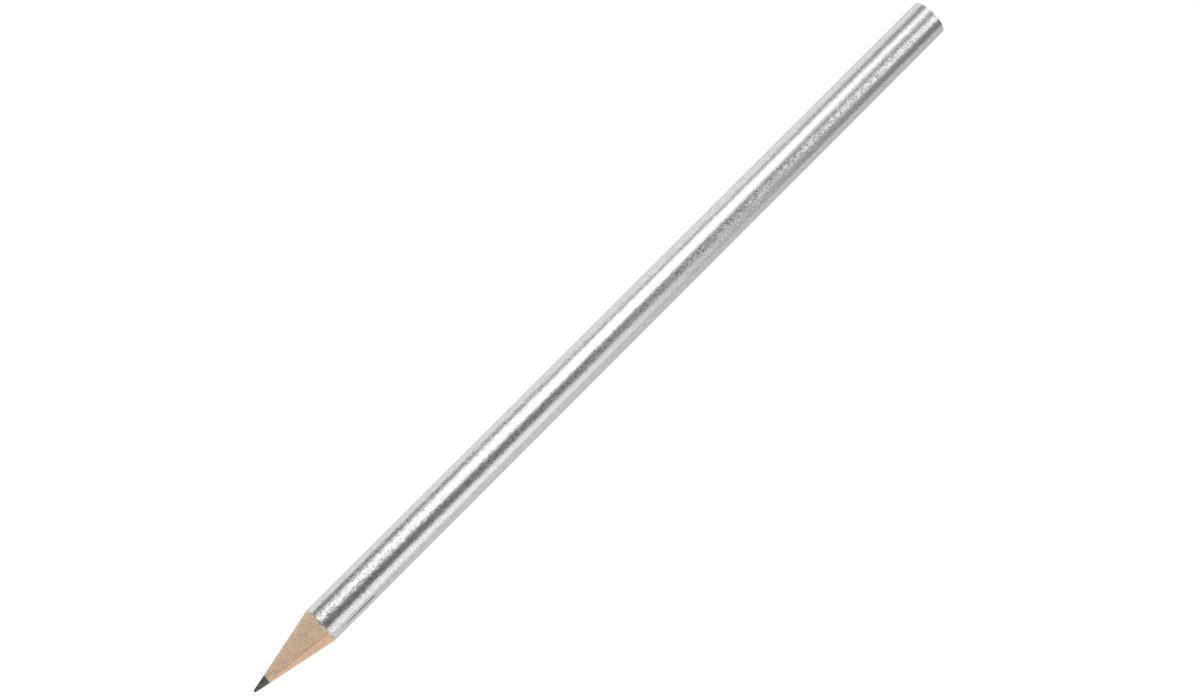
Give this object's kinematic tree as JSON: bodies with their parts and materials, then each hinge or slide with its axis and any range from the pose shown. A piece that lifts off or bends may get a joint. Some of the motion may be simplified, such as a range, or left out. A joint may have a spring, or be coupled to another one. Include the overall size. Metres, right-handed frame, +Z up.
{
  "type": "wood-cased pencil",
  "caption": "Sharpened round wood-cased graphite pencil with a silver lacquered barrel and a flat butt end, for writing and drawing.",
  "frame": {"origin": "middle of the bottom of the box: on the barrel's bottom facet, halfway between the point and the butt end", "axes": "+X along the pencil from the point to the butt end, +Z up from the surface it lies on, +Y across it"},
  "size_m": [0.175, 0.0074, 0.0074],
  "materials": {
    "graphite_lead": "satin",
    "wood_glue": "satin",
    "casing_wood": "matte",
    "undercoat": "matte",
    "silver_lacquer": "satin"
  },
  "bodies": {
    "root": {"lead_core": "graphite_lead", "glue_film": "wood_glue", "upper_slat": "casing_wood", "lower_slat": "casing_wood", "undercoat": "undercoat", "silver_lacquer": "silver_lacquer"}
  },
  "joints": []
}
